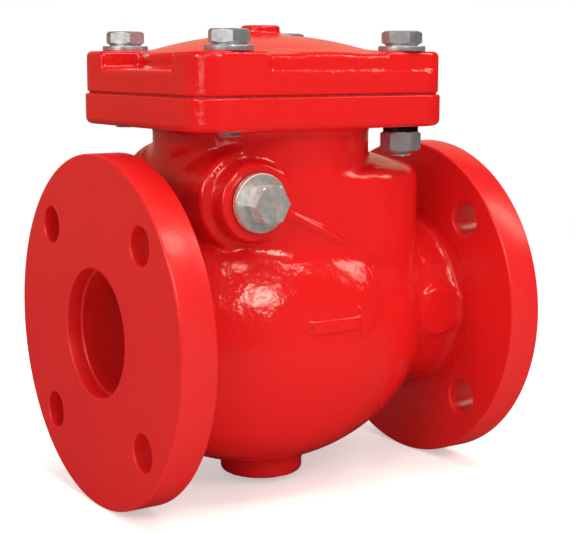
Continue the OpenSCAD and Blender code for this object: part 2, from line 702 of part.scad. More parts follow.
// Split pin through the stem, with its eye on one side and its legs bent on the other
module cotter_pin() color(bright_steel) translate([cotter_x, 0, 0]) {
    rotate([90, 0, 0]) cylinder(r = 1.6, h = stem_d + 5, center = true);
    translate([0, -(stem_d / 2 + 4), 0]) rotate([0, 90, 0]) difference() {
        cylinder(r = 2.6, h = 2.6, center = true);
        cylinder(r = 1.2, h = 4, center = true);
    }
    translate([0, stem_d / 2 + 1.4, 0]) rotate([-25, 0, 0]) cylinder(r = 1.1, h = 7);
    translate([0, stem_d / 2 + 1.4, 0]) rotate([180 + 25, 0, 0]) cylinder(r = 1.1, h = 7);
}

body_casting();
seat_ring();
cover_gasket();
cover();
tapped_bolts();
through_bolts();
bolt_washers();
lock_washers();
cover_nuts();
hinge_pin();
hinge_bush_front();
hinge_bush_rear();
plug_seal_front();
plug_seal_rear();
side_plug_front();
side_plug_rear();
clapper_arm();
arm_bush();
thrust_washer_front();
thrust_washer_rear();
clapper_disc();
disc_facing();
facing_clamp();
clamp_screws();
stem_washer();
stem_nut();
cotter_pin();
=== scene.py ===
# %% [markdown]
# # A cast check valve in glossy enamel
#
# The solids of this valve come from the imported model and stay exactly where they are. This
# notebook gives them their looks. The casting and its cover leave the foundry with soft
# fillets that plain solids don't have, so both are made again here as smooth surfaces of the
# same sizes. The bolts, nuts and washers are turned again with the bevels, collars and threads
# that plain solids leave out. Every other piece keeps its solid and gets a finish of its own.

# %% Load the frame
import math

import bmesh
import bpy
import numpy as np
from mathutils import Euler, Matrix, Vector


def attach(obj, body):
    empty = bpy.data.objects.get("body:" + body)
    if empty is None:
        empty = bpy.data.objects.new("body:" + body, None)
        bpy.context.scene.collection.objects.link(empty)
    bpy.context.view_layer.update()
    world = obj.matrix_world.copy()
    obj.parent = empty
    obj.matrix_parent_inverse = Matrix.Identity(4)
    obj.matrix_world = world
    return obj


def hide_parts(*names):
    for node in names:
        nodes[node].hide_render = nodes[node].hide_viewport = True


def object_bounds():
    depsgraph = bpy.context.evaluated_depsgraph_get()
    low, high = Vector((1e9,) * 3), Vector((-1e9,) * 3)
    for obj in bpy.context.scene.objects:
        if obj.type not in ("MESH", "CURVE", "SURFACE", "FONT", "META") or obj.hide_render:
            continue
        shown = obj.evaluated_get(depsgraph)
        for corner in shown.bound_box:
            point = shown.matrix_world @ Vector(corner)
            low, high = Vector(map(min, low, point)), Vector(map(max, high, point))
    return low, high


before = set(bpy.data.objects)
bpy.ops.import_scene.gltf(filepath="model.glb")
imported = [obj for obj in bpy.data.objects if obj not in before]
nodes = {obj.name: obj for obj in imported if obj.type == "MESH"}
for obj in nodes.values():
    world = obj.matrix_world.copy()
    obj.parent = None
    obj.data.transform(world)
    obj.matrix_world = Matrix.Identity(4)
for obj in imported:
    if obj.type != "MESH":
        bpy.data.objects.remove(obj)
cad_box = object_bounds()


def rounded(box):
    """The two corners of a box in metres, to a tenth of a millimetre."""
    return [[round(v, 4) for v in corner] for corner in box]


print(len(nodes), "nodes in the box", rounded(cad_box))

# %% [markdown]
# ## Sizes
#
# The model's frame has X along the flow, with the inlet flange's face at zero, and Z up. The
# values below repeat the part's own sizes in millimetres, because a surface that stands for a
# solid has to lie where the solid is. Meshes are made in millimetres and written in metres.

# %% Sizes of the casting and the cover, in millimetres
MM = 0.001
LENGTH = 216.0
FLANGE_R, FLANGE_T, HUB_R = 89.0, 19.0, 45.0
BOLT_CIRCLE_R, INLET_HOLE_R, OUTLET_HOLE_R = 69.85, 9.5, 9.7
BORE_R, WAY_R, MOUTH_DEPTH = 32.5, 31.5, 8.0
TUBE_R, INLET_TUBE_END, OUTLET_TUBE_END = 38.0, 39.5, 30.0
INLET_HUB_END, OUTLET_HUB_END, HUB_FOOT_R = 50.0, 70.0, 56.0
BODY_X, CHEST_X = 98.0, 130.5
BULB_R, BULB_ARC_R, BULB_DROP, WALL = 73.0, 114.0, 5.5, 9.0
NECK_R, CHEST_R, CHEST_TOP, CHEST_ROUND = 56.5, 57.0, 80.0, 8.5
SHOULDER = math.radians(16)
CHEEK_RISE, CREASE, CREASE_L = 1.0, math.radians(25.6), 72.0
BEAD_R, BEAD_END_R, BEAD_THINS = 2.5, 0.8, 38.0
PIN_X, PIN_Z = 62.0, 66.5
CROSS_HUB_R, CROSS_HUB_Y, PLUG_BOSS_R, PLUG_BOSS_Y = 25.0, 43.0, 19.5, 53.8
BUSH_HOLE_R, PLUG_HOLE_R, PLUG_HOLE_Y = 10.03, 11.03, 44.0
HUB_ROOM_R, EAR_R, EAR_Y = 16.0, 15.0, 26.0
DRAIN_R, DRAIN_LOW = 22.0, 85.5
SIDE_BOSS_R, SIDE_BOSS_Y, SIDE_BOSS_BACK = 13.0, 47.0, 32.0
SEAT_WALL_X, OPENING_R, COLLAR_R = 50.0, 47.0, 62.0
PLATE_L, PLATE_W, PLATE_CORNER_R = 150.0, 133.0, 17.0
PLATE_LOW, PLATE_TOP = 101.0, 117.0
COVER_LOW, COVER_RIM, COVER_BOSS, DOME_EDGE = 117.8, 130.0, 138.8, 139.0
COVER_MARGIN, COVER_CORNER_R = 1.0, 16.0
COVER_BOLTS_X, COVER_BOLT_Y, COVER_HOLE_R = (46.7, 149.3), 53.15, 6.75
DRUM_R, CROWN_SPAN, CROWN_RISE, HOLLOW_TOP = 62.0, 57.0, 8.5, 136.5
PAD_R, PAD_TOP = 10.0, 152.0
PROUD = 0.05  # how far a hidden face lies past the one that it would share

# %% [markdown]
# ## Soft junctions
#
# Molten iron can't fill a sharp inner corner, so a foundry rounds each place where two forms
# meet. A distance field makes that easy: a function gives, for any point, how far it lies from
# a form, and is negative inside. The smaller of two distances joins two forms with a crease.
# Taking a little more away where the two are nearly equal rounds the crease into a fillet.

# %% Distances, and how to join them
def joined(a, b, reach):
    """The smaller of a and b, less reach / 4 where they are equal.

    What is taken away fades to nothing where a and b differ by reach.
    """
    near = np.clip(reach - np.abs(a - b), 0, None) / reach
    return np.minimum(a, b) - near * near * reach / 4


def shared(a, b, reach):
    """The larger of a and b, which is what both forms hold, with its outer edge rounded."""
    return -joined(-a, -b, reach)


def without(a, b, reach):
    """Form a less form b, with the new edge rounded."""
    return shared(a, -b, reach)


def round_corner(u, v, radius):
    """Distance to the corner where u and v are both negative, grown by radius and so round."""
    outside = np.hypot(np.maximum(u, 0), np.maximum(v, 0))
    return outside + np.minimum(np.maximum(u, v), 0) - radius


def drum(radial, along, r, end, edge):
    """Distance to a drum of radius r that ends at along = end, with a rounding of radius edge."""
    return round_corner(radial - (r - edge), along - (end - edge), edge)


def tablet(x, y, length, width, corner):
    """Distance in plan to a rectangle about the cover's centre whose corners have radius corner."""
    dx = np.abs(x - BODY_X) - (length / 2 - corner)
    return round_corner(dx, np.abs(y) - (width / 2 - corner), corner)


# %% [markdown]
# ## From a field to a mesh
#
# A box of grid points is laid over the form and the field is worked out at all of them at
# once. Where its sign changes between two neighbours, the surface crosses that edge. Each cell
# that is crossed gets one point, the mean of its crossings, and the four cells around a
# crossed edge make one face. Last, every point slides down the field's slope onto the surface,
# which removes the grid's steps. The slope there also gives the normal that the light sees, so
# reflections run smoothly over the enamel.

# %% Mesh of a field's zero surface
def slope_of(field, p, h=0.05):
    """Slope of the field at the points p, from its change over h to both sides along X, Y and Z."""
    steps = np.eye(3) * h
    return np.stack([(field(*(p + s).T) - field(*(p - s).T)) / (2 * h) for s in steps], axis=1)


def surface_net(field, low, high, step):
    """Points and four-sided faces of the surface where field is zero, in the box low to high."""
    lines = [np.arange(a, b + step, step) for a, b in zip(low, high)]
    value = field(*np.meshgrid(*lines, indexing="ij"))
    inside = value < 0
    shape = np.array(value.shape)
    total, count, quads = np.zeros((value.size, 3)), np.zeros(value.size), []
    for axis in range(3):
        head, tail = [slice(None)] * 3, [slice(None)] * 3
        head[axis], tail[axis] = slice(0, -1), slice(1, None)
        start, end = value[tuple(head)], value[tuple(tail)]
        cell = np.argwhere((start < 0) != (end < 0))
        pick = tuple(cell.T)
        point = cell.astype(float)
        point[:, axis] += start[pick] / (start[pick] - end[pick])
        u, v = (axis + 1) % 3, (axis + 2) % 3
        ring = []
        for du, dv in ((-1, -1), (0, -1), (0, 0), (-1, 0)):
            around = cell.copy()
            around[:, u] += du
            around[:, v] += dv
            ring.append(np.ravel_multi_index(tuple(around.T), shape))
        for index in ring:
            count += np.bincount(index, minlength=value.size)
            for k in range(3):
                total[:, k] += np.bincount(index, point[:, k], minlength=value.size)
        quad = np.stack(ring, axis=1)
        turned = ~inside[tuple(cell.T)]
        quad[turned] = quad[turned, ::-1]
        quads.append(quad)
    used = np.flatnonzero(count)
    number = np.zeros(value.size, int)
    number[used] = np.arange(len(used))
    points = np.array(low) + step * total[used] / count[used, None]
    for _ in range(4):
        slope = slope_of(field, points)
        reach = field(*points.T) / np.maximum((slope**2).sum(1), 0.2)
        points -= np.clip(reach, -step / 2, step / 2)[:, None] * slope
    return points, number[np.concatenate(quads)]


def add_piece(name, points, faces, finish, stands_for, weld=False, field=None,
              crisp=None):
    """A smooth-shaded mesh object from points in millimetres, which moves with the housing.

    With a field, each point's normal is the field's slope there. Edges bent by more than crisp
    degrees stay sharp.
    """
    mesh = bpy.data.meshes.new(name)
    mesh.from_pydata((np.asarray(points) * MM).tolist(), [], np.asarray(faces).tolist())
    if weld:
        bm = bmesh.new()
        bm.from_mesh(mesh)
        bmesh.ops.remove_doubles(bm, verts=bm.verts, dist=1e-6)
        bmesh.ops.recalc_face_normals(bm, faces=bm.faces)
        bm.to_mesh(mesh)
        bm.free()
    mesh.polygons.foreach_set("use_smooth", np.ones(len(mesh.polygons), bool))
    if crisp:
        mesh.set_sharp_from_angle(angle=math.radians(crisp))
    if field:
        normals = slope_of(field, points)
        normals /= np.maximum(np.linalg.norm(normals, axis=1), 1e-6)[:, None]
        mesh.normals_split_custom_set_from_vertices(normals.tolist())
    mesh.materials.append(finish)
    piece = bpy.data.objects.new(name, mesh)
    bpy.context.scene.collection.objects.link(piece)
    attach(piece, "housing")
    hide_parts(*stands_for)
    triangles = sum(len(p.vertices) - 2 for p in mesh.polygons)
    print(name, len(mesh.vertices), "points,", triangles, "triangles")


# %% [markdown]
# ## Finishes
#
# The enamel is sprayed on rough iron. It is one strong red, glossy, and it follows the sand's
# texture below it as soft lumps of a few millimetres, with a finer orange peel on top. Both
# go through Bump, so that highlights break up into the blobs that a casting shows. The lumps
# are wanted on the cast faces and hardly at all on the turned flanges, so the pattern is one
# node group with its strengths as inputs.

# %% Helpers for materials
def new_material(name):
    """An empty node material with its Principled shader, and a function that adds a node."""
    material = bpy.data.materials.new(name)
    material.use_nodes = True
    tree = material.node_tree
    shader = tree.nodes["Principled BSDF"]

    def add(kind, **settings):
        node = tree.nodes.new(kind)
        for key, value in settings.items():
            setattr(node, key, value)
        return node

    return material, tree, shader, add


def group_with(name, inputs, outputs):
    """An empty node group with the named inputs (value, or colour as a tuple) and outputs."""
    group = bpy.data.node_groups.new(name, "ShaderNodeTree")
    for label, default in inputs.items():
        kind = "NodeSocketColor" if isinstance(default, tuple) else "NodeSocketFloat"
        group.interface.new_socket(label, in_out="INPUT", socket_type=kind).default_value = default
    for label, kind in outputs.items():
        group.interface.new_socket(label, in_out="OUTPUT", socket_type=kind)
    return group, group.nodes.new("NodeGroupInput"), group.nodes.new("NodeGroupOutput")


# %% Group: the relief of sprayed enamel
def make_enamel_group():
    """Lumps of the cast skin and a finer orange peel, as a colour, a roughness and a normal."""
    group, given, result = group_with(
        "enamel_skin",
        {"Colour": (0.8, 0.02, 0.02, 1.0), "Lumps": 1.0, "Peel": 1.0, "Gloss": 0.25},
        {"Colour": "NodeSocketColor", "Roughness": "NodeSocketFloat", "Normal": "NodeSocketVector"},
    )
    link, new = group.links.new, group.nodes.new
    place = new("ShaderNodeTexCoord")

    def noise(scale, detail, roughness=0.5):
        node = new("ShaderNodeTexNoise")
        node.inputs["Scale"].default_value = scale
        node.inputs["Detail"].default_value = detail
        node.inputs["Roughness"].default_value = roughness
        link(place.outputs["Object"], node.inputs["Vector"])
        return node.outputs["Fac"]

    # Lumps of about 7 mm, orange peel of 2 mm and patches of tone of 45 mm
    lump, peel, tone = noise(150, 2.0), noise(520, 2.0), noise(22, 3.0)
    lumps = new("ShaderNodeBump")
    lumps.inputs["Distance"].default_value = 0.0011
    link(lump, lumps.inputs["Height"])
    link(given.outputs["Lumps"], lumps.inputs["Strength"])
    skin = new("ShaderNodeBump")
    skin.inputs["Distance"].default_value = 0.00022
    link(peel, skin.inputs["Height"])
    link(given.outputs["Peel"], skin.inputs["Strength"])
    link(lumps.outputs["Normal"], skin.inputs["Normal"])
    link(skin.outputs["Normal"], result.inputs["Normal"])

    darker = new("ShaderNodeMix")
    darker.data_type = "RGBA"
    darker.blend_type = "MULTIPLY"
    amount = new("ShaderNodeMapRange")
    link(tone, amount.inputs["Value"])
    amount.inputs["From Min"].default_value = 0.35
    amount.inputs["From Max"].default_value = 0.7
    amount.inputs["To Min"].default_value = 0.0
    amount.inputs["To Max"].default_value = 0.12
    link(amount.outputs["Result"], darker.inputs["Factor"])
    link(given.outputs["Colour"], darker.inputs["A"])
    darker.inputs["B"].default_value = (0.7, 0.45, 0.45, 1)
    link(darker.outputs["Result"], result.inputs["Colour"])

    rough = new("ShaderNodeMath")
    rough.operation = "MULTIPLY_ADD"
    link(peel, rough.inputs[0])
    rough.inputs[1].default_value = 0.14
    link(given.outputs["Gloss"], rough.inputs[2])
    link(rough.outputs["Value"], result.inputs["Roughness"])
    return group


enamel_skin = make_enamel_group()
ENAMEL_RED = (0.69, 0.0095, 0.0105, 1)


def enamel(name, lumps, peel, gloss, coat):
    """Red enamel with its own strength of lumps and orange peel, its own gloss and clear coat."""
    material, tree, shader, add = new_material(name)
    skin = add("ShaderNodeGroup")
    skin.node_tree = enamel_skin
    skin.inputs["Colour"].default_value = ENAMEL_RED
    skin.inputs["Lumps"].default_value = lumps
    skin.inputs["Peel"].default_value = peel
    skin.inputs["Gloss"].default_value = gloss
    tree.links.new(skin.outputs["Colour"], shader.inputs["Base Color"])
    tree.links.new(skin.outputs["Roughness"], shader.inputs["Roughness"])
    tree.links.new(skin.outputs["Normal"], shader.inputs["Normal"])
    shader.inputs["Specular IOR Level"].default_value = 0.5
    shader.inputs["Coat Weight"].default_value = coat
    shader.inputs["Coat Roughness"].default_value = 0.09
    return material


cast_enamel = enamel("enamel_on_cast_iron", 0.5, 0.5, 0.09, 0.3)
turned_enamel = enamel("enamel_on_turned_face", 0.1, 0.3, 0.24, 0.1)
print("finishes:", cast_enamel.name, turned_enamel.name)


# %% [markdown]
# Steel fasteners come zinc plated or plainly turned. Zinc has faint patches where crystals
# meet, and a turned piece has fine lines. A second group gives both: noise in patches for
# tone, and noise that is stretched along one direction for the tool's lines.

# %% Group: patches and tool lines on metal
def make_metal_group():
    """Tone patches and stretched tool lines on a metal, as a colour, a roughness and a normal."""
    group, given, result = group_with(
        "worked_metal",
        {"Light": (0.6, 0.6, 0.62, 1.0), "Dark": (0.3, 0.3, 0.31, 1.0), "Patch Scale": 120.0,
         "Rough Low": 0.25, "Rough High": 0.5, "Lines": 0.3},
        {"Colour": "NodeSocketColor", "Roughness": "NodeSocketFloat", "Normal": "NodeSocketVector"},
    )
    link, new = group.links.new, group.nodes.new
    place = new("ShaderNodeTexCoord")
    patch = new("ShaderNodeTexNoise")
    patch.inputs["Detail"].default_value = 5.0
    patch.inputs["Roughness"].default_value = 0.62
    link(place.outputs["Object"], patch.inputs["Vector"])
    link(given.outputs["Patch Scale"], patch.inputs["Scale"])
    stretch = new("ShaderNodeMapping")
    stretch.inputs["Scale"].default_value = (900, 900, 60)
    link(place.outputs["Object"], stretch.inputs["Vector"])
    line = new("ShaderNodeTexNoise")
    line.inputs["Scale"].default_value = 1.0
    line.inputs["Detail"].default_value = 2.0
    link(stretch.outputs["Vector"], line.inputs["Vector"])

    spread = new("ShaderNodeMapRange")
    spread.inputs["From Min"].default_value = 0.36
    spread.inputs["From Max"].default_value = 0.64
    link(patch.outputs["Fac"], spread.inputs["Value"])
    tone = new("ShaderNodeMix")
    tone.data_type = "RGBA"
    link(spread.outputs["Result"], tone.inputs["Factor"])
    link(given.outputs["Dark"], tone.inputs["A"])
    link(given.outputs["Light"], tone.inputs["B"])
    link(tone.outputs["Result"], result.inputs["Colour"])
    rough = new("ShaderNodeMapRange")
    link(spread.outputs["Result"], rough.inputs["Value"])
    link(given.outputs["Rough High"], rough.inputs["To Min"])
    link(given.outputs["Rough Low"], rough.inputs["To Max"])
    link(rough.outputs["Result"], result.inputs["Roughness"])
    bump = new("ShaderNodeBump")
    bump.inputs["Distance"].default_value = 0.00008
    link(line.outputs["Fac"], bump.inputs["Height"])
    link(given.outputs["Lines"], bump.inputs["Strength"])
    link(bump.outputs["Normal"], result.inputs["Normal"])
    return group


worked_metal = make_metal_group()


def metal(name, light, dark, patch_scale, rough_low, rough_high, lines, metallic=1.0):
    """A worked metal from two tones, the size of its patches, its roughness and its tool lines."""
    material, tree, shader, add = new_material(name)
    look = add("ShaderNodeGroup")
    look.node_tree = worked_metal
    values = (light + (1,), dark + (1,), patch_scale, rough_low, rough_high, lines)
    for socket, value in zip(look.inputs, values):
        socket.default_value = value
    tree.links.new(look.outputs["Colour"], shader.inputs["Base Color"])
    tree.links.new(look.outputs["Roughness"], shader.inputs["Roughness"])
    tree.links.new(look.outputs["Normal"], shader.inputs["Normal"])
    shader.inputs["Metallic"].default_value = metallic
    return material


zinc_steel = metal(
    "zinc_plated_steel", (0.76, 0.8, 0.9), (0.48, 0.51, 0.58), 140, 0.3, 0.46, 0.35, 0.85)
turned_steel = metal(
    "turned_steel", (0.98, 0.98, 0.99), (0.62, 0.63, 0.65), 260, 0.26, 0.44, 1.0, 0.75)
oiled_steel = metal(
    "oiled_spring_steel", (0.07, 0.065, 0.07), (0.03, 0.028, 0.03), 120, 0.3, 0.45, 0.2)
seat_bronze = metal("cast_bronze", (0.72, 0.47, 0.2), (0.5, 0.3, 0.12), 90, 0.25, 0.42, 0.4)
black_rubber = metal(
    "moulded_rubber", (0.03, 0.03, 0.032), (0.02, 0.02, 0.021), 160, 0.55, 0.75, 0.2, 0.0)
pressed_fibre = metal(
    "pressed_fibre", (0.11, 0.085, 0.07), (0.05, 0.04, 0.035), 260, 0.7, 0.9, 0.3, 0.0)
red_gasket = metal("gasket_with_enamel_on_its_edge", (0.55, 0.012, 0.012), (0.3, 0.01, 0.01),
                   300, 0.5, 0.7, 0.2, 0.0)

FINISHES = {
    zinc_steel: "tapped_bolts through_bolts bolt_washers cover_nuts clapper_arm clamp_screws "
                "stem_washer stem_nut",
    turned_steel: "hinge_pin side_plug_front side_plug_rear clapper_disc facing_clamp cotter_pin",
    oiled_steel: "lock_washers",
    seat_bronze: "seat_ring hinge_bush_front hinge_bush_rear arm_bush thrust_washer_front "
                 "thrust_washer_rear",
    black_rubber: "disc_facing",
    red_gasket: "cover_gasket",
    pressed_fibre: "plug_seal_front plug_seal_rear",
}
for finish, names in FINISHES.items():
    for name in names.split():
        for place in nodes[name].material_slots:
            place.material = finish
print("metal and rubber finishes:", [m.name for m in FINISHES])


# %% [markdown]
# ## The casting between its flanges
#
# The body is a bulb around the waterway, a chest that makes room for the open clapper, a neck
# below the top flange, a cross hub for the hinge, and bosses. Each form below is one distance
# field, and the reach of each join is the size of the foundry's fillet there. Thin discs at
# both ends and at the top carry the fillets onto the flanges, which come later as crisp
# turned pieces. The hollow is taken out the same way, so the clapper shows through the ports.

# %% Field of the casting
def casting_outside(x, y, z):
    """Bulb, chest, neck, hubs and bosses, each joined to the rest with its own fillet."""
    tall_y = np.abs(y)
    pipe = np.hypot(y, z)
    bulb = np.hypot(np.hypot(y, z + BULB_DROP) + BULB_ARC_R - BULB_R, x - BODY_X) - BULB_ARC_R
    from_line = np.hypot(x - np.clip(x, BODY_X, CHEST_X), y)
    shoulder = (from_line - CHEST_R + CHEST_ROUND) * math.sin(SHOULDER) \
        + (z - CHEST_TOP + CHEST_ROUND) * math.cos(SHOULDER) - CHEST_ROUND
    chest = shared(shared(from_line - CHEST_R, shoulder, 7), -z - 20, 2)
    above = (x - PIN_X) * math.sin(CREASE) + (z - PIN_Z) * math.cos(CREASE)
    along = (x - PIN_X) * math.cos(CREASE) - (z - PIN_Z) * math.sin(CREASE)
    cheek = shared(from_line - CHEST_R - CHEEK_RISE, shared(above, along - CREASE_L, 2), 1.6)
    cheek = np.maximum(cheek, np.maximum(-10 - along, -z - 15))
    chest = joined(chest, cheek, 1)
    thinner = np.clip((along - BEAD_THINS) / (CREASE_L - BEAD_THINS), 0, 1)
    bead_r = BEAD_R - thinner * (BEAD_R - BEAD_END_R)
    bead = np.hypot(above - 0.6, from_line - CHEST_R - CHEEK_RISE + 0.7) - bead_r
    chest = joined(chest, np.maximum(bead, np.maximum(-along, along - CREASE_L)), 1.4)
    from_neck = np.hypot(x - BODY_X, y)
    neck = np.maximum(from_neck - NECK_R, -z)
    collar = np.maximum(from_neck - COLLAR_R, PLATE_LOW - PROUD - z)
    form = joined(joined(joined(neck, collar, 4), chest, 4), bulb, 3)
    for from_face, reach in ((x, INLET_HUB_END), (LENGTH - x, OUTLET_HUB_END)):
        hub = np.maximum(pipe - HUB_R, from_face - reach)
        disc = np.maximum(pipe - HUB_FOOT_R, from_face - FLANGE_T - PROUD)
        form = joined(form, joined(hub, disc, 6), 5)
    from_pin = np.hypot(x - PIN_X, z - PIN_Z)
    cross_hub = drum(from_pin, tall_y, CROSS_HUB_R, CROSS_HUB_Y, 3)
    plug_bosses = drum(from_pin, tall_y, PLUG_BOSS_R, PLUG_BOSS_Y, 2)
    form = joined(form, joined(cross_hub, plug_bosses, 2.5), 4)
    form = joined(form, drum(from_neck, -z, DRAIN_R, DRAIN_LOW, 3), 4)
    from_boss = np.hypot(x - LENGTH + SIDE_BOSS_BACK, z)
    form = joined(form, drum(from_boss, tall_y, SIDE_BOSS_R, SIDE_BOSS_Y, 2), 5)
    ends = np.maximum(np.maximum(14 - x, x - LENGTH + 14), z - PLATE_LOW - 2)
    return np.maximum(form, ends)


def casting_hollow(x, y, z):
    """Chamber, neck opening, pocket for the arm's hub, waterway and hinge holes."""
    tall_y = np.abs(y)
    pipe = np.hypot(y, z)
    arc = BULB_ARC_R - WALL
    bulb = np.hypot(np.hypot(y, z + BULB_DROP) + arc - BULB_R + WALL, x - BODY_X) - arc
    from_line = np.hypot(x - np.clip(x, BODY_X, CHEST_X), y)
    chest = drum(from_line, z, CHEST_R - WALL, CHEST_TOP - WALL, 8)
    chest = np.maximum(chest, -z)
    neck = np.maximum(np.hypot(x - BODY_X, y) - OPENING_R, -z)
    room = joined(joined(bulb, chest, 6), neck, 4)
    room = shared(room, SEAT_WALL_X - x, 1)
    from_pin = np.hypot(x - PIN_X, z - PIN_Z)
    room = joined(room, np.maximum(from_pin - HUB_ROOM_R, tall_y - EAR_Y), 1)
    room = np.maximum(room, -np.maximum(from_pin - EAR_R, EAR_Y - tall_y))
    room = np.minimum(room, np.maximum(from_pin - BUSH_HOLE_R, EAR_Y - 1 - tall_y))
    room = np.minimum(room, np.maximum(from_pin - PLUG_HOLE_R, PLUG_HOLE_Y - tall_y))
    way = joined(np.maximum(pipe - WAY_R, BODY_X - x), room, 5)
    ends = np.maximum(pipe - TUBE_R, np.minimum(x - SEAT_WALL_X - 1, LENGTH - OUTLET_TUBE_END - x))
    return np.minimum(way, ends)


def casting(x, y, z):
    """Metal of the casting: its outside less its hollow."""
    return np.maximum(casting_outside(x, y, z), -casting_hollow(x, y, z))


# %% Mesh of the casting
STEP = 1.7
shell_points, shell_faces = surface_net(casting, (11.3, -76, -89), (LENGTH - 11, 76, 107), STEP)
add_piece("casting_shell", shell_points, shell_faces, cast_enamel, ["body_casting"],
          field=casting)

# %% [markdown]
# ## Arrow for the direction of flow
#
# The arrow is cast in low relief on the near side of the bulb. It is a fine net of points over
# the mark, pushed out of the bulb inside the arrow's outline and sunk a little below it outside.

# %% Raised arrow on the bulb
def arrow_edge(along, up):
    """Distance in the mark's plane to the outline of a bar with a pointed head, negative inside."""
    bar = np.maximum(np.abs(along + 6.5) - 15, np.abs(up) - 3.6)
    head = np.maximum(8 - along, (13 * np.abs(up) + 8 * (along - 21)) / math.hypot(13, 8))
    return np.minimum(bar, head)


def arrow_relief(rise=1.2, sunk=0.6, soft=1.2, step=0.4):
    """Points and faces of the mark; its edge rises from -sunk to rise over a width of 2 * soft."""
    along, up = np.meshgrid(np.arange(-24, 24, step), np.arange(-10.4, 10.5, step), indexing="ij")
    edge = arrow_edge(along, up)
    t = np.clip((soft - edge) / (2 * soft), 0, 1)
    height = (rise + sunk) * t * t * (3 - 2 * t) - sunk
    x, z = BODY_X + 5 + along, up + 5.5
    r = np.sqrt(BULB_ARC_R**2 - (x - BODY_X) ** 2) - BULB_ARC_R + BULB_R
    lean = np.arcsin((z + BULB_DROP) / r)
    r = r + height
    points = np.stack([x, -r * np.cos(lean), r * np.sin(lean) - BULB_DROP], -1)
    rows, columns = edge.shape
    faces = sheet_faces(rows, columns, wrap=False)
    near = (edge.ravel()[faces] < soft).any(axis=1)
    used, faces = np.unique(faces[near], return_inverse=True)
    return points.reshape(-1, 3)[used], faces.reshape(-1, 4)


# %% [markdown]
# ## Pipe flanges
#
# A flange is turned on a lathe and drilled, so its edges are crisp. One quarter of it is a
# sheet that starts at the edge of the front face, runs in to a bolt hole, through it and back
# out on the rear face. Each row of the sheet is a mix of the hole's circle and the quarter's
# own outline. Two more sheets are profiles carried around the axis: the rim with its small
# bevel, and the bore with its machined mouth and the tube of metal behind it.

# %% One flange, drawn with its face at depth zero
def arc_row(centre, radius, low, high, count):
    """Rows of (radius, depth) on a quarter circle from angle low to high, for a rounded edge."""
    a = np.radians(np.linspace(low, high, count))
    return np.stack([centre[0] + radius * np.cos(a), centre[1] + radius * np.sin(a)], axis=1)


def carried_round(profile, angles):
    """Profile of (radius, depth) turned about the pipe: a point is (depth, r cos a, r sin a)."""
    r, depth = profile[:, :1], profile[:, 1:] + 0 * angles
    return np.stack([depth, r * np.cos(angles), r * np.sin(angles)], -1)


def sheet_faces(rows, columns, start=0, wrap=True):
    """Faces between neighbouring points of a sheet of rows by columns, closed around if wrap."""
    last = columns if wrap else columns - 1
    i, j = np.meshgrid(np.arange(rows - 1), np.arange(last), indexing="ij")
    k = (j + 1) % columns
    row, above = i * columns, (i + 1) * columns
    return np.stack([row + j, row + k, above + k, above + j], -1).reshape(-1, 4) + start


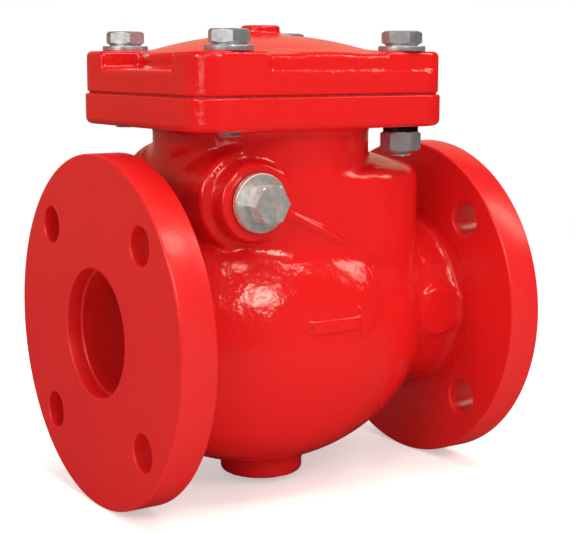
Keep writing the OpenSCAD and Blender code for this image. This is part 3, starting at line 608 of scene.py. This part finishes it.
def flange_sheets(tube_end, hole_r):
    """Points and faces of a flange with bolt holes of radius hole_r.

    The tube of metal around its bore goes on to the depth tube_end.
    """
    per_quarter, across = 40, 10
    edge, rim_edge, mouth_edge = 0.9, 1.2, 0.8
    outer, inner, back_inner = FLANGE_R - rim_edge, BORE_R + mouth_edge, 47.5
    angles = np.linspace(0, 2 * math.pi, 4 * per_quarter, endpoint=False)
    quarter = np.linspace(0, math.pi / 2, per_quarter + 1)

    def outline(low):
        spoke = np.linspace(low, outer, across + 1)[1:-1]
        inward = [(low * np.cos(a), low * np.sin(a)) for a in quarter]
        outward = [(outer * np.cos(a), outer * np.sin(a)) for a in quarter[::-1]]
        return np.array(inward + [(0, r) for r in spoke] + outward + [(r, 0) for r in spoke[::-1]])

    hole = BOLT_CIRCLE_R / math.sqrt(2) * np.ones(2)
    front, back = outline(inner), outline(back_inner)
    toward = np.arctan2(*(front - hole).T[::-1])
    circle = np.stack([np.cos(toward), np.sin(toward)], axis=1)
    rim_front = arc_row((hole_r + edge, edge), edge, 270, 180, 5)
    rim_back = arc_row((hole_r + edge, FLANGE_T - edge), edge, 180, 90, 5)

    def row(plane, depth):
        return np.c_[np.full(len(plane), depth), plane]

    def mixed(line, t):
        return t * line + (1 - t) * (hole + circle * (hole_r + edge))

    mixes = (1, 0.985, 0.6, 0.3, 0.08)
    sheet = [row(mixed(front, t), 0.0) for t in mixes]
    sheet += [row(hole + circle * r, depth) for r, depth in np.r_[rim_front, rim_back]]
    sheet += [row(mixed(back, t), FLANGE_T) for t in mixes[::-1]]
    sheet = np.array(sheet)
    points, faces, start = [], [], 0
    for turn in range(4):
        c, s = round(math.cos(turn * math.pi / 2)), round(math.sin(turn * math.pi / 2))
        y, z = sheet[..., 1] * c - sheet[..., 2] * s, sheet[..., 1] * s + sheet[..., 2] * c
        points.append(np.stack([sheet[..., 0], y, z], -1).reshape(-1, 3))
        faces.append(sheet_faces(*sheet.shape[:2], start))
        start += len(points[-1])
    rim = np.r_[[(outer, 0)], arc_row((outer, rim_edge), rim_edge, -90, 0, 5)[1:],
                arc_row((outer, FLANGE_T - rim_edge), rim_edge, 0, 90, 5)]
    tube, tube_start, bevel = TUBE_R + 0.2, FLANGE_T - 3, 0.3
    bore = np.r_[[(inner, 0)], arc_row((inner, mouth_edge), mouth_edge, 270, 180, 4)[1:],
                 [(BORE_R, MOUTH_DEPTH - bevel), (BORE_R, MOUTH_DEPTH),
                  (WAY_R + bevel, MOUTH_DEPTH), (WAY_R, MOUTH_DEPTH + bevel),
                  (WAY_R, MOUTH_DEPTH + 1), (WAY_R, tube_end - 0.5), (WAY_R, tube_end),
                  (tube, tube_end), (tube, tube_start), (back_inner, tube_start),
                  (back_inner, FLANGE_T)]]
    for profile in (rim, bore):
        sheet = carried_round(profile, angles)
        points.append(sheet.reshape(-1, 3))
        faces.append(sheet_faces(*sheet.shape[:2], start))
        start += len(points[-1])
    return np.concatenate(points), np.concatenate(faces)


# %% Both flanges
flange_points, flange_faces = flange_sheets(INLET_TUBE_END, INLET_HOLE_R)
add_piece("inlet_flange", flange_points, flange_faces, turned_enamel, ["body_casting"], weld=True)
flange_points, flange_faces = flange_sheets(OUTLET_TUBE_END, OUTLET_HOLE_R)
flange_points[:, 0] = LENGTH - flange_points[:, 0]
add_piece("outlet_flange", flange_points, flange_faces, turned_enamel, ["body_casting"], weld=True)

# %% Arrow piece
arrow_points, arrow_faces = arrow_relief(step=0.4)
add_piece("flow_arrow", arrow_points, arrow_faces, cast_enamel, ["body_casting"])

# %% [markdown]
# ## Top flange
#
# The plate that the cover bolts onto is part of the casting. Its section is carried around a
# rectangle with round corners: across the underside from the neck's opening, around the soft
# lower edge, up the side, over the crisp upper edge and back to the opening.

# %% Plate below the cover
def plate_outline(inset, per_corner=14, per_side=24):
    """Outline of the top flange drawn in by inset, as corner arcs joined by straight sides."""
    half = np.array([PLATE_L / 2, PLATE_W / 2]) - PLATE_CORNER_R
    corners = []
    for k, (sx, sy) in enumerate(((1, 1), (-1, 1), (-1, -1), (1, -1))):
        a = np.radians(np.linspace(90 * k, 90 * k + 90, per_corner))
        ring = np.stack([np.cos(a), np.sin(a)], 1) * (PLATE_CORNER_R - inset)
        corners.append(half * (sx, sy) + ring)
    parts = []
    for k in range(4):
        start, end = corners[k][-1], corners[(k + 1) % 4][0]
        t = np.linspace(0, 1, per_side + 2)[1:-1, None]
        parts += [corners[k], start + t * (end - start)]
    return np.concatenate(parts)


def plate_sheet():
    """Sheet of rows around the plate: opening, underside, lower edge, side, upper edge, top."""
    soft, crisp = 3.5, 1.0
    rim = plate_outline(soft)
    a = np.arctan2(rim[:, 1], rim[:, 0])
    hole = OPENING_R * np.stack([np.cos(a), np.sin(a)], 1)

    def level(xy, z):
        return np.c_[xy + (BODY_X, 0), np.full(len(xy), z)]

    rows = [level(hole, z) for z in (PLATE_TOP - 0.5, PLATE_LOW + 0.5, PLATE_LOW)]
    rows += [level((1 - t) * hole + t * rim, PLATE_LOW) for t in (0.3, 0.7, 0.97)]
    for t in np.radians(np.linspace(0, 90, 7)):
        edge = plate_outline(soft - soft * math.sin(t))
        rows.append(level(edge, PLATE_LOW + soft - soft * math.cos(t)))
    rows += [level(plate_outline(0), z) for z in (PLATE_LOW + soft + 0.6, PLATE_TOP - crisp - 0.5)]
    for t in np.radians(np.linspace(0, 90, 5)):
        edge = plate_outline(crisp - crisp * math.cos(t))
        rows.append(level(edge, PLATE_TOP - crisp + crisp * math.sin(t)))
    top = plate_outline(crisp)
    rows += [level((1 - t) * hole + t * top, PLATE_TOP) for t in (0.97, 0.6, 0.03, 0)]
    rows.append(rows[0])
    return np.array(rows)


sheet = plate_sheet()
add_piece("top_flange", sheet.reshape(-1, 3), sheet_faces(*sheet.shape[:2]), cast_enamel,
          ["body_casting"], weld=True)

# %% [markdown]
# ## Cover
#
# The cover is a second casting: a rim, four bosses for the bolts with a raised block between
# each pair, a drum in the middle under a shallow crown, and a small round pad on top. It is
# made as the body is, on a finer grid because its forms are smaller.

# %% Field and mesh of the cover
def cover_form(x, y, z):
    """Rim, bosses, blocks, drum, crown and pad, less the hollow below and the bolt holes."""
    from_centre = np.hypot(x - BODY_X, y)
    less = 2 * COVER_MARGIN
    outline = tablet(x, y, PLATE_L - less, PLATE_W - less, COVER_CORNER_R)
    u = COVER_BOLTS_X[1] - BODY_X - 2 - np.abs(x - BODY_X)
    corner = round_corner(u, COVER_BOLT_Y - 2 - np.abs(y), 14.5)
    back = np.abs(y) - np.where(x > BODY_X, 64.2, 70)
    bosses = shared(shared(corner, back, 1.5), z - COVER_BOSS, 3)
    form = shared(outline, joined(z - COVER_RIM, bosses, 2.5), 3.5)
    block = tablet(x, y, COVER_BOLTS_X[1] - COVER_BOLTS_X[0], PLATE_W - 5, 4)
    blocks = shared(block, z - COVER_BOSS + 1, 5)
    crown_r = (CROWN_SPAN**2 + CROWN_RISE**2) / (2 * CROWN_RISE)
    crown = np.sqrt(from_centre**2 + (z - DOME_EDGE - CROWN_RISE + crown_r) ** 2) - crown_r
    middle = shared(from_centre - DRUM_R, crown, 3)
    pad = drum(from_centre, z, PAD_R, PAD_TOP, 1.5)
    form = joined(joined(form, blocks, 1.4), middle, 3)
    form = joined(form, pad, 2.5)
    form = shared(form, COVER_LOW - z, 1.2)
    ceiling_r = crown_r - WALL
    ceiling = np.sqrt(from_centre**2 + (z - HOLLOW_TOP + ceiling_r) ** 2) - ceiling_r
    form = without(form, shared(from_centre - OPENING_R, ceiling, 6), 1)
    for bolt_x in COVER_BOLTS_X:
        from_bolt = np.hypot(x - bolt_x, np.abs(y) - COVER_BOLT_Y)
        form = np.maximum(form, COVER_HOLE_R - from_bolt)
    return form


COVER_STEP = 0.9
cover_points, cover_faces = surface_net(
    cover_form, (BODY_X - 76.3, -68.2, COVER_LOW - 2), (BODY_X + 76.3, 68.2, 154), COVER_STEP)
add_piece("cast_cover", cover_points, cover_faces, cast_enamel, ["cover"], field=cover_form)

# %% [markdown]
# ## Bolts, nuts and washers
#
# A bolt head is a hexagon whose corners a cone of 30 degrees cuts away above and below, and it
# stands on a low round collar. The shank's radius then follows a zigzag along a helix for the
# thread. All of it is one sheet of rows carried around the bolt's axis, from the middle of the
# head to the middle of the end.

# %% Rows of a bolt, a nut and a washer
AROUND = 96
SLOPE_30 = math.tan(math.radians(30))


def hexagon_rows(low, height, flats, collar, top_r, under_r, turn):
    """Rows (radius at each angle, height) of a hexagon from low up, above a collar's height.

    The radius is half the flats over the cosine of the angle to the nearest flat's middle, and at
    most that of a 30 degree cone which ends at top_r above and at under_r below.
    """
    a = np.linspace(0, 2 * math.pi, AROUND, endpoint=False)
    side = flats / 2 / np.cos(np.mod(a, math.pi / 3) - math.pi / 6)
    rows = []
    for z in np.r_[np.linspace(collar, collar + 1.3, 6), np.linspace(height - 1.3, height, 6)]:
        cone = np.minimum(top_r + (height - z) / SLOPE_30, under_r + (z - collar) / SLOPE_30)
        rows.append((np.minimum(side, cone), low + z))
    return [(r, z, turn) for r, z in rows]


def round_rows(pairs, turn):
    """Rows (radius, height) that are plain circles."""
    return [(np.full(AROUND, float(r)), z, turn) for r, z in pairs]


def thread_rows(high, low, turn, radius=6.0, pitch=1.75, depth=1.0):
    """Rows of a thread from high down to low.

    The radius falls by depth and rises again once a turn, and the thread fades at both ends.
    """
    a = np.linspace(0, 1, AROUND, endpoint=False)
    rows = []
    for z in np.arange(high, low, -pitch / 8):
        phase = np.mod(z / pitch - a, 1)
        fade = min(1, (high - z) / 2, (z - low) / 0.8 + 0.3)
        rows.append((radius - 0.05 - depth * fade * (1 - np.abs(2 * phase - 1)), z, turn))
    return rows


def carried_up(rows, place):
    """Points of rows around the upright line through place."""
    sheets = []
    for r, z, turn in rows:
        a = np.linspace(0, 2 * math.pi, AROUND, endpoint=False) + math.radians(turn)
        sheets.append(np.c_[place[0] + r * np.cos(a), place[1] + r * np.sin(a), np.full(AROUND, z)])
    return np.array(sheets)


def add_ring_pieces(name, sheets, finish, closed=False):
    """One piece from several sheets of rows; closed joins each sheet's last row to its first."""
    points, faces, start = [], [], 0
    for sheet in sheets:
        sheet = np.concatenate([sheet, sheet[:1]]) if closed else sheet
        points.append(sheet.reshape(-1, 3))
        faces.append(sheet_faces(*sheet.shape[:2], start))
        start += len(points[-1])
    add_piece(name + "_turned", np.concatenate(points), np.concatenate(faces), finish, [name],
              weld=True, crisp=28)


# %% Bolts with heads and threads
HEX, HEAD_H, COLLAR_H, WASHER_T, WASHER_R = 18.0, 7.6, 0.55, 2.6, 12.0
HEAD_LOW, HEAD_TOP = COVER_BOSS + WASHER_T, COVER_BOSS + WASHER_T + HEAD_H
NUT_TOP, NUT_H, BOLT_END = PLATE_LOW - 2.6, 10.0, 2.4
SHANK_R, FACE_R, TIP_R = 5.95, 8.55, 0.01


def bolt_sheet(place, turn, end):
    """A whole bolt: its end, thread, shank, collar, hexagon and top, from middle to middle."""
    shank = [(SHANK_R, PLATE_TOP - 1.9), (SHANK_R, HEAD_LOW)]
    collar = [(8.2, HEAD_LOW), (8.2, HEAD_LOW + COLLAR_H)]
    rows = round_rows([(TIP_R, end), (4.9, end)], turn)
    rows += thread_rows(PLATE_TOP - 2, end + 0.02, turn)[::-1]
    rows += round_rows(shank + collar, turn)
    rows += hexagon_rows(HEAD_LOW, HEAD_H, HEX, COLLAR_H, FACE_R, 8.3, turn)
    rows += round_rows([(7.6, HEAD_TOP), (TIP_R, HEAD_TOP)], turn)
    return carried_up(rows, place)


near, far = COVER_BOLTS_X
tapped = [bolt_sheet((near, side * COVER_BOLT_Y), turn, PLATE_LOW - BOLT_END)
          for side, turn in ((-1, 9), (1, 16))]
through = [bolt_sheet((far, side * COVER_BOLT_Y), 15, NUT_TOP - NUT_H - BOLT_END)
           for side in (-1, 1)]
add_ring_pieces("tapped_bolts", tapped, zinc_steel)
add_ring_pieces("through_bolts", through, zinc_steel)


# %% Nuts and plain washers
def nut_sheet(place, turn):
    """A nut: out over its lower face, up the hexagon and back over the upper face to the hole."""
    low, hole_r = NUT_TOP - NUT_H, 6.03
    rows = round_rows([(hole_r, low), (8.3, low)], turn)
    rows += hexagon_rows(low, NUT_H, HEX, 0, FACE_R, FACE_R, turn)
    rows += round_rows([(hole_r, NUT_TOP)], turn)
    return carried_up(rows, place)


def washer_sheet(place):
    """A plain washer with small round edges outside and a straight hole."""
    edge, hole_r, low, high = 0.45, 6.375, COVER_BOSS, COVER_BOSS + WASHER_T
    a = np.radians(np.linspace(0, 90, 5))
    upper = [(WASHER_R - edge + edge * math.cos(t), high - edge + edge * math.sin(t)) for t in a]
    lower = [(r, low + high - z) for r, z in upper[::-1]]
    return carried_up(round_rows([(hole_r, low)] + lower + upper + [(hole_r, high)], 0), place)


add_ring_pieces("cover_nuts", [nut_sheet((far, side * COVER_BOLT_Y), 22) for side in (-1, 1)],
                zinc_steel, closed=True)
washers = [washer_sheet((x, side * COVER_BOLT_Y)) for x in (near, far) for side in (-1, 1)]
add_ring_pieces("bolt_washers", washers, zinc_steel, closed=True)

# %% [markdown]
# ## Camera, floor and light
#
# The camera was worked out from the outlines of the flanges and bolt holes in the photograph.
# The studio is white: a pale floor and a white surround that lights everything plainly. Seven
# oval lamps stand where the photograph's highlights come from, which was found by mirroring
# the line of sight at each highlight. A large low lamp in front and one overhead only fill the
# shadows, so they are left out of reflections. For glossy rays the surround is warm and bright
# straight behind the valve, so faces that are seen nearly edge on turn pale, and dark elsewhere.

# %% Camera
CAMERA_PLACE = (-0.28656, -0.60383, 0.13580)
CAMERA_FALL, CAMERA_TURN, CAMERA_ROLL = 0.15336, 0.58701, 0.00178  # radians
MIDDLE = (0.108, 0, 0.03)

camera_data = bpy.data.cameras.new("photo_camera")
camera_data.sensor_width = 36
camera_data.lens = 85.03
camera = bpy.data.objects.new("photo_camera", camera_data)
bpy.context.scene.collection.objects.link(camera)
aim = Euler((math.pi / 2 - CAMERA_FALL, 0, -CAMERA_TURN)).to_matrix()
aim = aim @ Matrix.Rotation(CAMERA_ROLL, 3, "Z")
camera.matrix_world = Matrix.Translation(CAMERA_PLACE) @ aim.to_4x4()
bpy.context.scene.camera = camera
print("camera at", [round(v, 3) for v in camera.location])


# %% Surround
def make_white_studio(lit, front, side, behind):
    """A world of strength lit for plain light and white to the camera.

    For glossy rays it has strength front, with side more towards the left rear and behind more
    straight behind the valve.
    """
    world = bpy.data.worlds.new("white_studio")
    world.use_nodes = True
    tree = world.node_tree
    link, new = tree.links.new, tree.nodes.new
    back = tree.nodes["Background"]
    path, place = new("ShaderNodeLightPath"), new("ShaderNodeTexCoord")

    def rise(direction, low, high, amount):
        """From nothing to amount as the ray's cosine with direction goes from low to high."""
        toward = new("ShaderNodeVectorMath")
        toward.operation = "DOT_PRODUCT"
        link(place.outputs["Generated"], toward.inputs[0])
        toward.inputs[1].default_value = Vector(direction).normalized()
        sweep = new("ShaderNodeMapRange")
        sweep.interpolation_type = "SMOOTHSTEP"
        sweep.inputs["From Min"].default_value = low
        sweep.inputs["From Max"].default_value = high
        sweep.inputs["To Max"].default_value = amount
        link(toward.outputs["Value"], sweep.inputs["Value"])
        return sweep.outputs["Result"]

    both, level = new("ShaderNodeMath"), new("ShaderNodeMath")
    link(rise((0.5, 0.75, 0.35), 0.76, 0.96, behind), both.inputs[0])
    link(rise((-0.6, 0.8, 0.05), 0.55, 0.9, side), both.inputs[1])
    link(both.outputs["Value"], level.inputs[0])
    level.inputs[1].default_value = front

    def choose(ray, if_not, if_so):
        """One of two strengths, by whether the ray is of this kind."""
        mix = new("ShaderNodeMix")
        link(path.outputs[ray], mix.inputs["Factor"])
        for socket, value in (("A", if_not), ("B", if_so)):
            if isinstance(value, float):
                mix.inputs[socket].default_value = value
            else:
                link(value, mix.inputs[socket])
        return mix.outputs["Result"]

    strength = choose("Is Glossy Ray", lit, level.outputs["Value"])
    link(choose("Is Camera Ray", strength, 1.0), back.inputs["Strength"])
    tint = new("ShaderNodeMix")
    tint.data_type = "RGBA"
    link(path.outputs["Is Glossy Ray"], tint.inputs["Factor"])
    tint.inputs["A"].default_value = (1, 1, 1, 1)
    tint.inputs["B"].default_value = (1, 0.45, 0.32, 1)
    link(tint.outputs["Result"], back.inputs["Color"])
    return world


bpy.context.scene.world = make_white_studio(lit=0.4, front=0.05, side=0.28, behind=0.75)

# %% Floor that fades into the surround
floor_z = cad_box[0].z
floor_mesh = bpy.data.meshes.new("studio_floor")
corners = [(x, y, floor_z) for x, y in ((-3, -3), (3, -3), (3, 3), (-3, 3))]
floor_mesh.from_pydata(corners, [], [(0, 1, 2, 3)])
floor = bpy.data.objects.new("studio_floor", floor_mesh)
bpy.context.scene.collection.objects.link(floor)
pale, tree, shader, add = new_material("pale_floor")
shader.inputs["Roughness"].default_value = 0.9
shader.inputs["Emission Color"].default_value = (1, 1, 1, 1)
place, away, fade, path, glow = (add("ShaderNode" + kind) for kind in (
    "TexCoord", "VectorMath", "MapRange", "LightPath", "Math"))
away.operation = "DISTANCE"
away.inputs[1].default_value = (MIDDLE[0], MIDDLE[1], floor_z)
fade.interpolation_type = "SMOOTHSTEP"
for label, value in (("From Min", 0.3), ("From Max", 1.3), ("To Min", 1.0), ("To Max", 0.0)):
    fade.inputs[label].default_value = value
glow.operation = "MULTIPLY"
glow.inputs[1].default_value = 0.45
tree.links.new(place.outputs["Object"], away.inputs[0])
tree.links.new(away.outputs["Value"], fade.inputs["Value"])
tree.links.new(fade.outputs["Result"], shader.inputs["Alpha"])
tree.links.new(path.outputs["Is Camera Ray"], glow.inputs[0])
tree.links.new(glow.outputs["Value"], shader.inputs["Emission Strength"])
# For glossy rays the floor's colour drops from 0.9 to 0.05, so the valve's undersides reflect a
# dark floor, not a pale one: painted shade in those reflections.
dark_in_reflections = add("ShaderNodeMix", data_type="RGBA")
dark_in_reflections.inputs["A"].default_value = (0.9, 0.9, 0.9, 1)
dark_in_reflections.inputs["B"].default_value = (0.05, 0.05, 0.05, 1)
tree.links.new(path.outputs["Is Glossy Ray"], dark_in_reflections.inputs["Factor"])
tree.links.new(dark_in_reflections.outputs["Result"], shader.inputs["Base Color"])
floor_mesh.materials.append(pale)


# %% Lamps
def area_lamp(name, place, width, height, watts, reflected=True):
    """An oval, slightly warm lamp of width by height metres at place, turned to the valve."""
    data = bpy.data.lights.new(name, "AREA")
    data.shape = "ELLIPSE"
    data.size, data.size_y = width, height
    data.energy = watts
    data.color = (1.0, 0.94, 0.8)
    lamp = bpy.data.objects.new(name, data)
    lamp.location = place
    lamp.rotation_euler = (Vector(MIDDLE) - lamp.location).to_track_quat("-Z", "Y").to_euler()
    lamp.visible_glossy = reflected
    bpy.context.scene.collection.objects.link(lamp)


area_lamp("key_lamp", (-0.12, -1.29, 0.88), 0.48, 0.44, 6.2)
area_lamp("left_lamp", (-0.83, -0.79, 0.8), 0.4, 0.4, 1.6)
area_lamp("side_lamp", (-1.2, -0.53, 0.33), 0.6, 0.6, 1.6)
area_lamp("rim_lamp", (-1.15, -0.11, 0.62), 0.35, 0.35, 3.2)
area_lamp("high_lamp", (-0.07, -0.7, 1.5), 0.45, 0.3, 3)
area_lamp("right_lamp", (1.12, -0.54, 0.92), 0.3, 0.75, 3)
area_lamp("upper_right_lamp", (0.585, -0.66, 1.23), 0.42, 0.32, 3)
area_lamp("fill_lamp", (0.6, -1.45, 0.12), 1.8, 0.7, 4, reflected=False)
area_lamp("top_lamp", (0.1, 0.05, 1.8), 1.3, 1.3, 14, reflected=False)

# %% Colour management
bpy.context.scene.view_settings.view_transform = "Standard"
